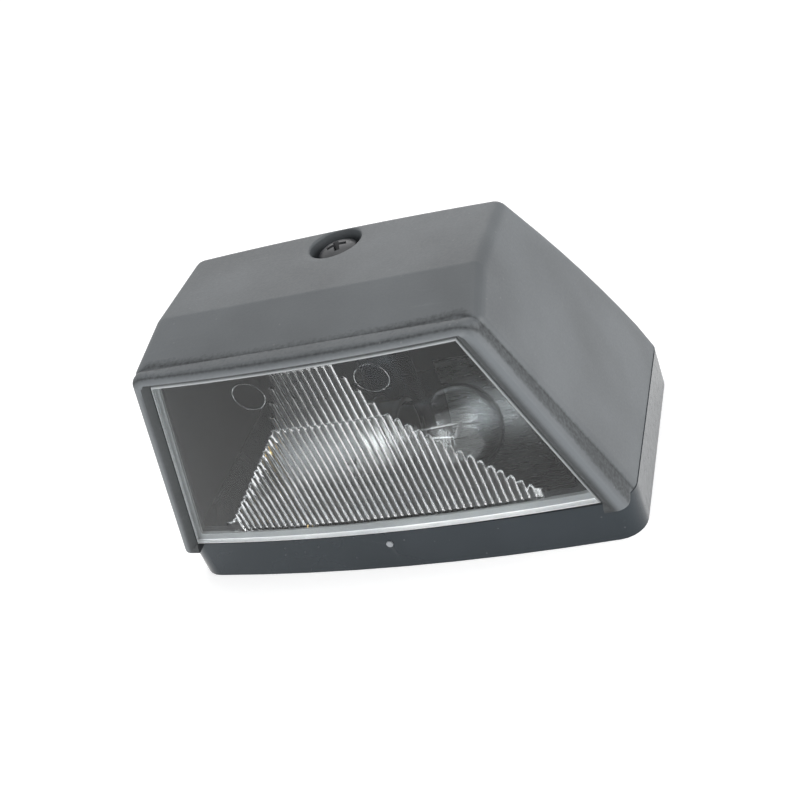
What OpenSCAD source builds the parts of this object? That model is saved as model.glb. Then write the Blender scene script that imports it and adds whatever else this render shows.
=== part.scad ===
// Number plate lamp for a vehicle.
// A moulded base is screwed to the body panel. A moulded cover sits on its rim, is held by one
// screw and carries a clear lens with moulded flutes. A bayonet bulb lies between them in a
// sheet metal holder, in front of a pressed reflector.
// The mounting face is at z = 0 and the cover rises along +Z. The lens looks along -Y.
// The origin is the middle of the mounting face. All lengths are in millimetres.

/* [Base] */
// Width of the base, along the lamp
base_w = 100; // [94:1:112]
// Depth of the base at its middle, from the lens side to the back
base_d = 59; // [57:1:64]
// Height of the base's rim
base_h = 9.5; // [8:0.5:11]
// Thickness of the base's floor
base_floor = 3; // [2.6:0.2:4]
// Thickness of the base's rim
base_wall = 4; // [4:0.1:4.8]
// Radius of the base's corners, seen from above
corner_r = 5.5; // [5:0.5:8]
// Radius of the bowed front and back
bow_r = 440; // [360:10:700]
// Height of the lip that centres the cover
lip_h = 1.4; // [1:0.2:1.8]
// Distance between the two mounting holes
mount_pitch = 60; // [54:1:66]
// Distance of the mounting holes behind the middle
mount_y = 10; // [9:0.5:12]
// Diameter of the mounting holes
mount_hole_d = 5.2; // [4.2:0.1:5.6]
// Distance of the cable inlet behind the middle
inlet_y = 15.5; // [14.5:0.5:17]
// Diameter of the cable that the inlet takes
cable_d = 5; // [3:0.5:6]

/* [Cover] */
// Height of the whole lamp above its mounting face
lamp_h = 61.5; // [60:0.5:68]
// Wall thickness of the cover
cover_wall = 2.2; // [1.8:0.1:2.4]
// How far the cover's lower edge stands back from the base's side
seam_set = 0.2; // [0.1:0.1:0.4]
// Lean of the cover's two ends, in degrees
side_lean = 16.8; // [13:0.1:17.5]
// Distance of the ridge between top and bevel in front of the middle
ridge_y = 19.6; // [18:0.2:21]
// Distance of the bevel's lower crease in front of the middle
crease_y = 33.6; // [33:0.1:34.5]
// Drop of the bevel from the top to its lower crease
bevel_drop = 3.7; // [3:0.1:5]
// Distance of the top's back edge behind the middle
top_back_y = 3.5; // [3:0.5:7]
// How far the back bulges beyond a straight line
back_bulge = 2; // [1:0.5:3]
// Radius of the top's edges
edge_r = 3; // [2.8:0.2:4]
// Radius of the crease above the collar
crease_r = 2.6; // [2.6:0.1:3.2]
// Radius of the back's side edges
back_r = 3.4; // [2.8:0.2:5]

/* [Lens] */
// Width of the lens at its lower edge
lens_w0 = 88.6; // [86:0.2:90]
// Width of the lens at its upper edge
lens_w1 = 61.8; // [58:0.2:63]
// Length of the lens from its lower to its upper edge
lens_l = 44.4; // [43:0.2:45]
// Thickness of the lens
lens_t = 2.2; // [1.8:0.1:2.6]
// Lean of the lens towards the front, in degrees
lens_lean = 5.6; // [5:0.1:6.5]
// Distance of the lens's lower edge in front of the middle
lens_y = 31.9; // [31.5:0.1:32.2]
// Height of the lens's lower edge above the mounting face
lens_z = 11.6; // [11.4:0.1:12.6]
// Play between the lens and its pocket
lens_gap = 0.15; // [0.1:0.05:0.3]
// Width of the ledge that the lens rests on
ledge = 1.1; // [1:0.1:2]
// Width of that ledge along the lens's lower edge
ledge_low = 1.8; // [1.4:0.1:2.4]
// Thickness of the adhesive seal between lens and ledge
seal_t = 0.8; // [0.5:0.1:1]
// Width of the collar beside the lens
collar_side = 4; // [3.6:0.1:4.2]
// Width of the collar above the lens
collar_top = 2.4; // [2:0.1:2.8]
// How far the collar's crest stands in front of the lens
collar_proud = 0.8; // [0.4:0.1:1.2]
// Radius of the collar's outer edge at the top
collar_r1 = 2.3; // [1.8:0.1:2.4]
// Radius of the collar's outer edge at the bottom
collar_r0 = 2.6; // [2.2:0.1:3.6]

/* [Flutes] */
// Distance from one flute to the next
flute_pitch = 1.45; // [1.3:0.05:1.8]
// Height of a flute above its field
flute_h = 0.25; // [0.15:0.05:0.5]
// How much thicker the lower field is
field_step = 0.6; // [0.3:0.1:0.8]
// Distance of the flutes' lower end from the ledge
flute_gap = 0.6; // [0.4:0.1:3]
// Height of the knee between the two fields
flute_knee = 29.2; // [26:0.2:32]
// Half width of the fluted fields at the lower end
flute_half0 = 34; // [28:0.5:35]
// Half width of the fluted fields at the knee
flute_half1 = 11.6; // [10:0.2:14]
// Half width of the upper field at its upper end
flute_half2 = 5.9; // [4:0.1:7]
// Distance of an ejector mark from the middle
mark_x = 12.6; // [12:0.2:14]
// Height of the ejector marks above the lens's edge
mark_v = 38.4; // [38:0.2:38.8]
// Radius of an ejector mark
mark_r = 3.2; // [2:0.1:3.3]

/* [Screw] */
// Distance of the cover's screw in front of the middle
screw_fore = 1.4; // [1:0.1:1.8]
// Diameter of the recess round the screw's head
recess_d = 10.8; // [10.4:0.1:12]
// Depth of that recess
recess_depth = 4.2; // [3.8:0.1:5]
// Diameter of the screw's shank
screw_d = 4; // [3.5:0.5:4]
// Diameter of the screw's head
head_d = 8.1; // [7.6:0.1:8.6]
// Height of the screw's head
head_h = 3; // [2.4:0.1:3.2]
// Length of the screw below its head
screw_l = 16; // [14:1:18]
// Thickness of the rubber ring under the head
ring_t = 0.7; // [0.5:0.1:1]
// Depth of the cover's screw boss below the top
boss_depth = 11.5; // [11:0.5:14]
// Diameter of the base's screw pillar
pillar_d = 11; // [10:0.5:12]
// Length of the brass insert in the pillar
insert_l = 8; // [6:0.5:9]
// Diameter of the brass insert
insert_d = 5.8; // [5.6:0.1:6.4]

/* [Bulb] */
// Distance of the filament to the right of the middle
bulb_x = 17; // [16:0.5:19]
// Distance of the bulb's axis in front of the middle
bulb_y = 16.5; // [16:0.5:17]
// Height of the bulb's axis above the mounting face
bulb_z = 24; // [23:0.5:26]
// Diameter of the bulb's glass globe
globe_d = 18.5; // [16:0.5:19]
// Diameter of the bulb's cap
cap_d = 15; // [14.8:0.1:15.2]
// Distance from the bayonet pins to the filament
pin_to_light = 19; // [18:0.5:20]
// Thickness of the glass
glass_t = 0.6; // [0.5:0.1:0.9]

/* [Holder] */
// Thickness of the holder's sheet metal
sheet_t = 0.8; // [0.6:0.1:1]
// Play between the bulb's cap and the socket
socket_gap = 0.25; // [0.15:0.05:0.35]
// Wall of the socket's tube
socket_wall = 0.5; // [0.4:0.1:0.7]
// Thickness of the reflector's sheet
reflector_t = 0.5; // [0.4:0.1:0.8]
// Left end of the reflector
reflector_x0 = 8; // [7:0.5:10]
// Play between the reflector's right end and the cover
reflector_play = 1.2; // [0.8:0.2:3]

/* [Hidden] */

$fn = 48;
eps = 0.01;
far = 200;
hull_fn = 32;
inner_fn = 20;

// Seam and lip between the base and the cover
lip_gap = 0.2;
lip_in = seam_set + cover_wall + lip_gap + lip_h * tan(side_lean);
cord_w = 1.2;
cord_h = 1;
cord_in = seam_set + (cover_wall - cord_w) / 2;
groove_play = 0.1;

// Rubber gasket in the mounting face
gasket_in = 2.6;
gasket_w = 2.4;
gasket_t = 1.2;

// Mounting holes and cable inlet
boss_r = mount_hole_d / 2 + 2.6;
boss_h = 1.6;
grommet_hole_r = cable_d / 2 + 1.8;
grommet_lip = 1.5;
grommet_lip_t = 1.4;
gate_r = 0.7;
gate_x = -1;
gate_z = 6.6;
gate_h = 0.3;

// How far the collar's form reaches into the cover
collar_deep = 6;
// How far the window's cut reaches behind the lens's face
window_deep = 16;
// Upright lands at the foot of the cover's outer form and of its inside
foot_land = 0.5;
inner_land = 0.3;
inner_drop = 1;

// Screw and its seat
recess_floor = lamp_h - recess_depth;
boss_z = lamp_h - boss_depth;
boss_wall = 2;
head_z = recess_floor + ring_t;
screw_play = 0.3;
thread_play = 0.05;
pillar_rib_t = 1.8;
pillar_rib_l = 3.2;
pillar_rib_h = 22;
cross_l = 4.4;
cross_t = 1;
cross_depth = 1.9;

// Bulb, counted along its axis from the bayonet pins, with the globe on the plus side
pin_x = bulb_x - pin_to_light;
axis_y = -bulb_y;
cap_front = 9;
cap_back = 6.8;
cap_wall = 0.4;
neck_r = cap_d / 2 - cap_wall - 0.05;
neck_z = 3;
pin_r = 1;
pin_out = 1.4;
filament_r = 0.45;
filament_l = 5;
lead_r = 0.25;
stem_r = 2.2;
stem_z = 10;
joint_play = 0.04;
insulator_r = 5.4;
insulator_t = 0.8;
tip_r = 2.4;
tip_h = 1;

// Holder, counted along the bulb's axis from the bayonet pins
shell_r = cap_d / 2 + socket_gap;
shell_front = 3.5;
shell_rim = 0.6;
shell_back = -15;
slot_w = 2 * pin_r + 0.5;
slot_end = -1.6;
disc_t = 2.5;
contact_top = -cap_back - insulator_t - tip_h;
contact_t = 1.2;
contact_r = 3.2;
stud_r = 1.3;
stud_end = shell_back - sheet_t - 3.7;
wire_r = 0.3;
coil_r = 2.2;
coil_turns = 2;
foot_l = 16;
foot_half = 8;
blade_w = 6.3;
blade_h = 9;
leaf_half = 3;
strip_t = 0.5;
strip_l = 12;
rivet_r = 1.5;
rivet_head_r = 2.5;
rivet_head_t = 1;
rivet_in = 2.2;
reflector_r = bulb_z - base_floor;
reflector_angle0 = 257;
reflector_angle1 = 370;
reflector_top = bulb_z + reflector_r * sin(reflector_angle1);

black_gloss = [0.03, 0.034, 0.04];
black_matt = [0.16, 0.165, 0.175];
rubber = [0.05, 0.05, 0.05];
clear = [0.85, 0.9, 0.92, 0.35];
nickel = [0.78, 0.78, 0.76];
zinc = [0.7, 0.71, 0.72];
brass = [0.8, 0.65, 0.35];

// How far an arc of radius r falls away at the distance x from its middle
function sag(x, r = bow_r) = r - sqrt(r * r - x * x);

// Half width between the cover's two ends at the height z
function half_at(z) = base_w / 2 - seam_set - tan(side_lean) * (z - base_h);
reflector_x1 = half_at(reflector_top) - cover_wall / cos(side_lean) - reflector_play;

// Points of the base's outline, seen from above, moved inwards by t: bowed front and back,
// straight ends and round corners
function outline(t, corner_steps = 6, bow_steps = 8) =
    let (r = max(corner_r - t, 0.4), big = bow_r - t, cx = base_w / 2 - t - r)
    let (oy = bow_r - base_d / 2)
    let (cy = sqrt(pow(big - r, 2) - cx * cx) - oy, turn = asin(cx / (big - r)))
    let (quarter = [for (i = [0:corner_steps]) i / corner_steps * (90 - turn)])
    let (back = [for (i = [1:bow_steps - 1]) turn - 2 * turn * i / bow_steps])
    let (right = [for (a = quarter) [cx + r * cos(a), cy + r * sin(a)]])
    let (bow = [for (a = back) [big * sin(a), big * cos(a) - oy]])
    let (count = corner_steps)
    concat(
        right,
        bow,
        [for (i = [count:-1:0]) [-right[i].x, right[i].y]],
        [for (i = [0:count]) [-right[i].x, -right[i].y]],
        [for (i = [bow_steps - 2:-1:0]) [bow[i].x, -bow[i].y]],
        [for (i = [count:-1:0]) [right[i].x, -right[i].y]]
    );

// A slab with that outline
module slab(t, z0, z1) {
    translate([0, 0, z0]) linear_extrude(z1 - z0) polygon(outline(t));
}

// A ring between two insets of that outline
module rim(t0, t1, z0, z1) {
    difference() {
        slab(t0, z0, z1);
        slab(t1, z0 - eps, z1 + eps);
    }
}

// Cross-section of the cover, as [y, z], from its front foot over the top to its back foot
front_foot = [sag(base_w / 2) - base_d / 2 + seam_set, base_h];
back_foot = [base_d / 2 - sag(base_w / 2) - seam_set, base_h];
crease = [-crease_y, lamp_h - bevel_drop];
ridge = [-ridge_y, lamp_h];
top_back = [top_back_y, lamp_h];
back_chord = back_foot - top_back;
back_out = [-back_chord.y, back_chord.x] / norm(back_chord);
back_rows = [for (s = [0.25, 0.5, 0.75])
    top_back + s * back_chord + 4 * s * (1 - s) * back_bulge * back_out];

// Outward normal of the line from p to q, with the cover's inside on its right hand
function outward(p, q) = [p.y - q.y, q.x - p.x] / norm(q - p);

// Centre of the circle of radius r that touches both lines that meet in q
function seat(p, q, s, r) =
    let (m = outward(p, q), n = outward(q, s), det = m.x * n.y - m.y * n.x)
    q - r * [(n.y - m.y) / det, (m.x - n.x) / det];

// Balls along a bowed edge of the cover: way is -1 for an edge that bows to the front and 1 for
// one that bows to the back, and shrink is the wall that is taken off for the inside
module edge_row(centre, r, way, shrink, count = 5) {
    half = half_at(centre.y) - r / cos(side_lean);
    for (i = [0:count - 1]) {
        x = half * (2 * i / (count - 1) - 1);
        translate([x, centre.x + way * (sag(half) - sag(x)), centre.y])
            sphere(r - shrink, $fn = shrink > 0 ? inner_fn : hull_fn);
    }
}

// The cover's outer form, or with shrink the form of the space inside it
module cover_form(shrink) {
    crease_c = seat(front_foot, crease, ridge, crease_r);
    ridge_c = seat(crease, ridge, top_back, edge_r);
    top_c = seat(ridge, top_back, back_rows[0], edge_r);
    drop = shrink > 0 ? inner_drop : 0;
    land = shrink > 0 ? inner_land : foot_land;
    hull() {
        slab(seam_set + shrink, base_h - drop, base_h + land);
        edge_row(crease_c, crease_r, -1, shrink);
        edge_row(ridge_c, edge_r, 0, shrink, 2);
        edge_row(top_c, edge_r, 1, shrink);
        for (p = back_rows) edge_row(p - back_r * back_out, back_r, 1, shrink, 3);
    }
}

// Places its children on the lens: x along the lamp, y up the lens and z out of its face
module on_lens() {
    translate([0, -lens_y, lens_z]) rotate([90 + lens_lean, 0, 0]) children();
}

// Half width of the lens at the height v above its lower edge
function lens_half(v) = (lens_w0 + (lens_w1 - lens_w0) * v / lens_l) / 2;
lens_slope = (lens_w0 - lens_w1) / 2 / lens_l;
edge_scale = sqrt(1 + lens_slope * lens_slope);

// The lens's outline, moved outwards by side at its ends and by up and down at its edges
module lens_outline(side, up, down) {
    a = lens_half(-down) + side * edge_scale;
    b = lens_half(lens_l + up) + side * edge_scale;
    polygon([[-a, -down], [a, -down], [b, lens_l + up], [-b, lens_l + up]]);
}

// A straight prism on that outline, from w0 to w1 along the lens's normal
module lens_prism(side, up, down, w0, w1) {
    translate([0, 0, w0]) linear_extrude(w1 - w0) lens_outline(side, up, down);
}

// A bowed plate, from front to back below the lens's face, cut to that outline
module bowed_plate(side, up, down, front, back) {
    steps = 16;
    half = lens_half(0) + 2;
    xs = [for (i = [0:steps]) half * (2 * i / steps - 1)];
    intersection() {
        translate([0, lens_l + up + 1, 0]) rotate([90, 0, 0]) linear_extrude(lens_l + up + down + 2)
            polygon(concat(
                [for (x = xs) [x, -front - sag(x)]],
                [for (i = [steps:-1:0]) [xs[i], -back - sag(xs[i])]]
            ));
        lens_prism(side, up, down, -far / 4, far / 4);
    }
}

// The collar round the lens, open at the lens's lower edge. Its two ends run down to the seam.
module collar_form() {
    crest = collar_proud - collar_r0 - sag(lens_w0 / 2);
    low = (base_h + seam_set - lens_z) / cos(lens_lean) + crest * tan(lens_lean);
    high = lens_l + collar_top - collar_r1;
    mouth = lens_half(0) + lens_gap;
    difference() {
        on_lens() hull() {
            collar_row(low, collar_r0, 0);
            collar_row(high, collar_r1, 0);
            collar_row(low + 1, collar_r0 / 2, collar_deep);
            collar_row(high - 1, collar_r1 / 2, collar_deep);
        }
        on_lens() translate([-mouth, -far / 2 - lens_gap, -far / 2])
            cube([2 * mouth, far / 2, far]);
    }
}

// Balls across the collar at the height v, deep below its crest
module collar_row(v, r, deep) {
    half = lens_half(v) + collar_side * edge_scale - r * edge_scale;
    for (i = [-2:2]) {
        x = half * i / 2;
        translate([x, v, collar_proud - r - sag(x) - deep]) sphere(r, $fn = hull_fn);
    }
}

module base_plate() {
    color(black_gloss) difference() {
        union() {
            difference() {
                slab(0, 0, base_h);
                slab(base_wall, base_floor, base_h + 1);
            }
            rim(lip_in, base_wall, base_h - 1, base_h + lip_h);
            at_screw() screw_pillar();
            for (side = [-1, 1])
                translate([side * mount_pitch / 2, mount_y, base_floor - eps])
                    cylinder(r = boss_r, h = boss_h + eps);
            translate([gate_x, 1 - base_d / 2, gate_z])
                rotate([90, 0, 0]) cylinder(r = gate_r, h = 1 + gate_h);
        }
        rim(cord_in, cord_in + cord_w, base_h - cord_h, base_h + eps);
        rim(gasket_in, gasket_in + gasket_w, -eps, gasket_t);
        for (side = [-1, 1])
            translate([side * mount_pitch / 2, mount_y, -eps]) cylinder(d = mount_hole_d, h = far);
        translate([0, inlet_y, -eps]) cylinder(r = grommet_hole_r, h = base_floor + 2 * eps);
        rivet_places() translate([0, 0, -rivet_in]) cylinder(r = rivet_r, h = far);
    }
}

// The pillar that takes the cover's screw, with four ribs at its foot
module screw_pillar() {
    difference() {
        union() {
            translate([0, 0, base_floor - eps]) cylinder(d = pillar_d, h = boss_z - base_floor + eps);
            for (turn = [45:90:315]) rotate(turn) pillar_rib();
        }
        translate([0, 0, boss_z - insert_l]) cylinder(d = insert_d, h = insert_l + 1);
        translate([0, 0, boss_z - screw_l]) cylinder(d = screw_d + 2 * screw_play, h = screw_l);
    }
}

module pillar_rib() {
    inside = pillar_d / 4;
    top = pillar_d / 2 - 0.5;
    reach = pillar_d / 2 + pillar_rib_l;
    translate([0, pillar_rib_t / 2, base_floor - eps]) rotate([90, 0, 0])
        linear_extrude(pillar_rib_t)
            polygon([[inside, 0], [reach, 0], [top, pillar_rib_h], [inside, pillar_rib_h]]);
}

module mounting_gasket() {
    color(rubber) rim(gasket_in + groove_play, gasket_in + gasket_w - groove_play, 0, gasket_t);
}

module cover_seal() {
    color(rubber) rim(cord_in + groove_play, cord_in + cord_w - groove_play, base_h - cord_h, base_h);
}

module cover() {
    color(black_matt) difference() {
        union() {
            difference() {
                union() {
                    cover_form(0);
                    intersection() {
                        collar_form();
                        translate([-far / 2, -far / 2, base_h + seam_set]) cube(far);
                    }
                }
                cover_form(cover_wall);
            }
            intersection() {
                cover_form(0);
                at_screw() screw_boss();
            }
        }
        at_screw(recess_floor) cylinder(d = recess_d, h = far);
        at_screw(boss_z - 1) cylinder(r = screw_d / 2 + screw_play, h = far);
        on_lens() bowed_plate(lens_gap, lens_gap, lens_gap, -far / 20, lens_t + seal_t);
        on_lens() lens_prism(-ledge, -ledge, -ledge_low, -window_deep, far / 20);
    }
}

// The boss inside the cover that carries the screw's recess and stands on the pillar
module screw_boss() {
    translate([0, 0, boss_z])
        cylinder(r = screw_d / 2 + screw_play + boss_wall, h = boss_depth);
    translate([0, 0, recess_floor - boss_wall])
        cylinder(r = recess_d / 2 + boss_wall, h = recess_depth + boss_wall);
}

module lens() {
    color(clear) on_lens() union() {
        bowed_plate(0, 0, 0, 0, lens_t);
        flutes(flute_half1, flute_knee - 1, flute_v1, 0);
        flutes(flute_half0, flute_v0, flute_knee, field_step);
        for (side = [-1, 1])
            translate([side * mark_x, mark_v, -lens_t - sag(mark_x) - mark_h])
                difference() {
                    cylinder(r = mark_r, h = mark_root);
                    translate([0, 0, -eps])
                        cylinder(r = mark_r - mark_line, h = mark_root + 2 * eps);
                }
    }
}

flute_v0 = ledge_low + flute_gap;
flute_v1 = lens_l - ledge - 0.4;
mark_h = 0.2;
mark_root = 1;
mark_line = 0.25;
field_bite = 0.4;

// Upper end of the flute whose middle is at the distance x from the lens's middle
function flute_end(x) =
    let (d = abs(x))
    let (upper = (d - flute_half2) / (flute_half1 - flute_half2))
    let (lower = (d - flute_half1) / (flute_half0 - flute_half1))
    d < flute_half2 ? flute_v1
    : d < flute_half1 ? flute_v1 - upper * (flute_v1 - flute_knee)
    : flute_knee - lower * (flute_knee - flute_v0 - 1);

// Back of flute number i at the share s of its width, as [x, depth]
function flute_back(i, s, step) =
    let (x = (i - 0.5 + s) * flute_pitch)
    [x, -lens_t - step - sag(x) - flute_h * (1 - pow(2 * s - 1, 2))];

// Round end of flute number i that ends at v, closed down to the next one with last_k 4
function flute_top(i, v, last_k) =
    [for (k = [0:last_k]) [
        i * flute_pitch - flute_pitch / 2 * cos(45 * k),
        v - flute_pitch / 2 * (1 - sin(45 * k))
    ]];

// A field of round-backed flutes, numbered from -last to last, from v0 to v1 at most, on a step
// of that thickness. Each flute has its own round upper end.
module flutes(half, v0, v1, step) {
    body_steps = 6;
    front_steps = 12;
    count = floor((half - flute_pitch / 2) / flute_pitch);
    reach = (count + 0.5) * flute_pitch;
    ends = [for (i = [-count:count]) min(v1, flute_end(i * flute_pitch))];
    back = concat(
        [for (i = [-count:count]) for (k = [0:body_steps - 1])
            flute_back(i, k / body_steps, step)],
        [flute_back(count, 1, step)]
    );
    front = [for (i = [front_steps:-1:-front_steps])
        let (x = reach * i / front_steps)
        [x, -lens_t + field_bite - sag(x)]];
    tops = [for (i = [0:2 * count])
        let (level = i < 2 * count && ends[i] == ends[i + 1])
        each flute_top(i - count, ends[i], level ? 3 : 4)];
    intersection() {
        translate([0, lens_l, 0]) rotate([90, 0, 0]) linear_extrude(lens_l)
            polygon(concat(back, front));
        translate([0, 0, -far / 8]) linear_extrude(far / 8)
            polygon(concat([[-reach, v0]], tops, [[reach, v0]]));
    }
}

module lens_seal() {
    color("lightgray") on_lens() difference() {
        bowed_plate(0, 0, 0, lens_t, lens_t + seal_t);
        lens_prism(-ledge, -ledge, -ledge_low, -far / 4, far / 4);
    }
}

// On the screw's axis, at the height z
module at_screw(z = 0) {
    translate([0, -screw_fore, z]) children();
}

module cover_screw() {
    dome = 1.2;
    dome_r = (pow(head_d / 2, 2) + dome * dome) / (2 * dome);
    color(black_matt) at_screw() difference() {
        union() {
            translate([0, 0, head_z]) cylinder(d = head_d, h = head_h - dome);
            intersection() {
                translate([0, 0, head_z + head_h - dome_r]) sphere(dome_r, $fn = 96);
                translate([0, 0, head_z + head_h - dome - 0.2]) cylinder(d = head_d, h = dome + 1);
            }
            translate([0, 0, head_z - screw_l]) cylinder(d = screw_d, h = screw_l + 0.2);
        }
        for (turn = [0, 90]) rotate(turn)
            translate([-cross_l / 2, -cross_t / 2, head_z + head_h - cross_depth])
                cube([cross_l, cross_t, far]);
    }
}

module screw_ring() {
    color(rubber) at_screw(recess_floor) difference() {
        cylinder(d = head_d + 0.6, h = ring_t);
        translate([0, 0, -eps]) cylinder(r = screw_d / 2 + thread_play, h = far);
    }
}

module screw_insert() {
    color(brass) at_screw(boss_z - insert_l) difference() {
        cylinder(d = insert_d, h = insert_l);
        translate([0, 0, -eps]) cylinder(r = screw_d / 2 + thread_play, h = far);
    }
}

// Pressed trough behind and under the bulb, closed at its far end
module reflector() {
    reflector_l = reflector_x1 - reflector_x0;
    color("gainsboro") translate([reflector_x0, axis_y, bulb_z]) rotate([90, 0, 90]) union() {
        linear_extrude(reflector_l) intersection() {
            difference() {
                circle(reflector_r, $fn = 96);
                circle(reflector_r - reflector_t, $fn = 96);
            }
            sector(2 * reflector_r, reflector_angle0, reflector_angle1);
        }
        translate([0, 0, reflector_l - reflector_t]) linear_extrude(reflector_t)
            intersection() {
                circle(reflector_r - reflector_t / 2, $fn = 96);
                sector(2 * reflector_r, reflector_angle0, reflector_angle1);
            }
    }
}

// A wedge between the directions a0 and a1, in degrees
module sector(r, a0, a1) {
    middle = (a0 + a1) / 2;
    polygon([[0, 0], r * [cos(a0), sin(a0)], r * [cos(middle), sin(middle)], r * [cos(a1), sin(a1)]]);
}

// Places its children on the bulb's axis: z counts from the bayonet pins to the globe
module on_bulb() {
    translate([pin_x, axis_y, bulb_z]) rotate([0, 90, 0]) children();
}

module bulb_glass() {
    color(clear) on_bulb() difference() {
        union() {
            translate([0, 0, pin_to_light]) sphere(d = globe_d, $fn = 64);
            translate([0, 0, neck_z]) cylinder(r = neck_r, h = pin_to_light - neck_z);
        }
        translate([0, 0, pin_to_light]) sphere(globe_d / 2 - glass_t, $fn = 64);
        translate([0, 0, neck_z + glass_t])
            cylinder(r = neck_r - glass_t, h = pin_to_light - neck_z - glass_t);
    }
}

module bulb_cap() {
    color(nickel) on_bulb() difference() {
        union() {
            translate([0, 0, -cap_back]) cylinder(d = cap_d, h = cap_back + cap_front);
            translate([0, 0, cap_front - 1]) cylinder(d = cap_d + 0.5, h = 1);
        }
        translate([0, 0, -cap_back + 1]) cylinder(r = cap_d / 2 - cap_wall, h = far);
        translate([0, 0, -cap_back - eps]) cylinder(r = insulator_r, h = far);
    }
}

module bulb_pins() {
    color(nickel) on_bulb() for (turn = [90, 270]) rotate(turn)
        translate([cap_d / 2, 0, 0]) rotate([0, 90, 0]) cylinder(r = pin_r, h = pin_out, $fn = 24);
}

module bulb_filament() {
    color("silver") on_bulb() translate([0, filament_l / 2, pin_to_light]) rotate([90, 0, 0])
        cylinder(r = filament_r, h = filament_l, $fn = 16);
}

module bulb_leads() {
    reach = pin_to_light - stem_z;
    color("silver") on_bulb() for (side = [-1, 1]) translate([0, side * stem_r * 0.6, stem_z + joint_play])
        rotate([-side * atan((filament_l / 2 - lead_r - stem_r * 0.6) / reach), 0, 0])
            cylinder(r = lead_r, h = reach - filament_r - 2 * joint_play, $fn = 16);
}

module bulb_stem() {
    color(clear) on_bulb() translate([0, 0, neck_z + glass_t]) union() {
        cylinder(r = stem_r, h = stem_z - neck_z - glass_t);
        cylinder(r = neck_r - glass_t - 0.1, h = 1);
    }
}

module bulb_insulator() {
    color("black") on_bulb() translate([0, 0, -cap_back - insulator_t])
        cylinder(r = insulator_r - 0.05, h = insulator_t + 1);
}

module bulb_contact() {
    color("lightgray") on_bulb() translate([0, 0, -cap_back - insulator_t]) mirror([0, 0, 1])
        cylinder(r = tip_r, h = tip_h);
}

// Tube of the bayonet socket, with a hooked slot for each pin
module socket_shell() {
    color(zinc) on_bulb() difference() {
        union() {
            translate([0, 0, shell_back])
                cylinder(r = shell_r + socket_wall, h = shell_front - shell_back);
            translate([0, 0, shell_front - shell_rim])
                cylinder(r = shell_r + socket_wall + shell_rim, h = shell_rim);
        }
        translate([0, 0, shell_back - eps]) cylinder(r = shell_r, h = far);
        for (turn = [90, 270]) rotate(turn) {
            translate([0, -slot_w / 2, slot_end]) cube([far, slot_w + 2.5, slot_w + 0.4]);
            translate([0, slot_w / 2, slot_end + 1]) cube([far, slot_w, far]);
        }
    }
}

// Bent sheet bracket: back plate, foot and earth blade
module socket_bracket() {
    x0 = pin_x + shell_back - sheet_t;
    tab_w = blade_w;
    blade_y = 3;
    color(zinc) difference() {
        union() {
            translate([x0, axis_y, base_floor])
                rotate([90, 0, 90]) linear_extrude(sheet_t) bracket_face();
            translate([x0, axis_y - foot_half, base_floor]) cube([foot_l, 2 * foot_half, sheet_t]);
            translate([x0, axis_y, base_floor]) cube([tab_w, blade_y - axis_y, sheet_t]);
            translate([x0, blade_y - sheet_t, base_floor]) cube([tab_w, sheet_t, blade_h]);
        }
        on_bulb() translate([0, 0, shell_back - 2]) cylinder(r = stud_r + 1, h = 4);
        rivet_places() translate([0, 0, -rivet_in]) cylinder(r = rivet_r, h = 2 * rivet_in);
    }
}

module bracket_face() {
    top_r = shell_r + socket_wall + 0.3;
    union() {
        translate([-foot_half, 0]) square([2 * foot_half, bulb_z - base_floor]);
        translate([0, bulb_z - base_floor]) circle(top_r, $fn = 64);
    }
}

module socket_insulator() {
    color("saddlebrown") on_bulb() translate([0, 0, shell_back]) difference() {
        cylinder(r = shell_r - 0.05, h = disc_t);
        translate([0, 0, -eps]) cylinder(r = stud_r + 0.15, h = far);
    }
}

module centre_contact() {
    color(brass) on_bulb() union() {
        translate([0, 0, contact_top - contact_t]) cylinder(r = contact_r, h = contact_t);
        translate([0, 0, stud_end]) cylinder(r = stud_r, h = contact_top - contact_t - stud_end + eps);
    }
}

// Ring number i of a wire that is wound round the z axis
function coil_ring(i, steps, turns, z0, z1, sides) =
    let (a = 360 * turns * i / steps, z = z0 + (z1 - z0) * i / steps)
    [for (k = [0:sides - 1])
        let (b = -360 * k / sides, r = coil_r + wire_r * cos(b))
        [r * cos(a), r * sin(a), z + wire_r * sin(b)]];

module contact_spring() {
    steps = 14 * coil_turns;
    sides = 6;
    z0 = shell_back + disc_t + wire_r;
    z1 = contact_top - contact_t - wire_r;
    points = [for (i = [0:steps]) each coil_ring(i, steps, coil_turns, z0, z1, sides)];
    walls = [for (i = [0:steps - 1]) for (k = [0:sides - 1])
        let (near = i * sides, next = near + sides, k1 = (k + 1) % sides)
        [near + k, near + k1, next + k1, next + k]];
    start = [for (k = [sides - 1:-1:0]) k];
    end = [for (k = [0:sides - 1]) steps * sides + k];
    color(nickel) on_bulb() polyhedron(points, concat([start], walls, [end]), convexity = 6);
}

// Spring leaf behind the socket, its foot and the supply blade
module supply_strip() {
    x1 = pin_x + stud_end;
    leaf_h = bulb_z + leaf_half - base_floor;
    color(brass) difference() {
        union() {
            translate([x1 - strip_t, axis_y - leaf_half, base_floor])
                cube([strip_t, 2 * leaf_half, leaf_h]);
            translate([x1 - strip_l, axis_y - blade_w / 2, base_floor]) {
                cube([strip_l, blade_w, strip_t]);
                cube([sheet_t, blade_w, blade_h]);
            }
        }
        rivet_places() translate([0, 0, -rivet_in]) cylinder(r = rivet_r, h = 2 * rivet_in);
    }
}

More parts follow.
